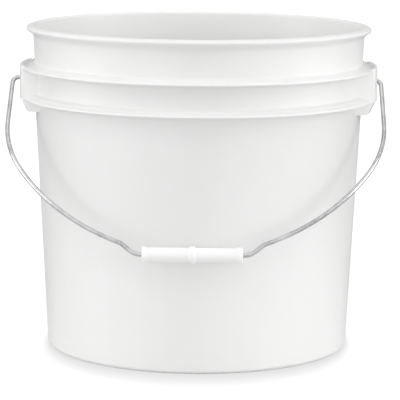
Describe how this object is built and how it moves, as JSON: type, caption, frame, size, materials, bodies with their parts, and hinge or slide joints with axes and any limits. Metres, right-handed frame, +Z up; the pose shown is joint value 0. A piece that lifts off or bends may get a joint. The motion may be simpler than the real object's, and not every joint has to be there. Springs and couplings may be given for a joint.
{
  "type": "plastic bucket",
  "caption": "Tapered white plastic bucket with a rolled lip, two sloping stiffening rings, moulded ears, and a hinged wire bail with a loose plastic grip.",
  "frame": {"origin": "centre of the bucket's foot ring, on the surface that it stands on", "axes": "+Z up along the bucket's axis, +X through the ear that is on the right in the picture, -Y towards the front, where the bail hangs"},
  "size_m": [0.3296, 0.311, 0.283],
  "materials": {
    "white_hdpe": "satin",
    "galvanised_wire": "satin",
    "white_grip": "gloss"
  },
  "bodies": {
    "shell": {"bucket": "white_hdpe"},
    "bail": {"bail_wire": "galvanised_wire"},
    "handle_grip": {"grip": "white_grip"}
  },
  "joints": [
    {"name": "bail_swing", "type": "hinge", "parent": "shell", "child": "bail", "pos_m": [0, 0, 0.2355], "axis": [-1, 0, 0], "range_deg": [0, 263.9]},
    {"name": "grip_spin", "type": "hinge", "parent": "bail", "child": "handle_grip", "pos_m": [-0.0016, -0.14559, 0.1046], "axis": [1, 0, 0], "continuous": true}
  ]
}
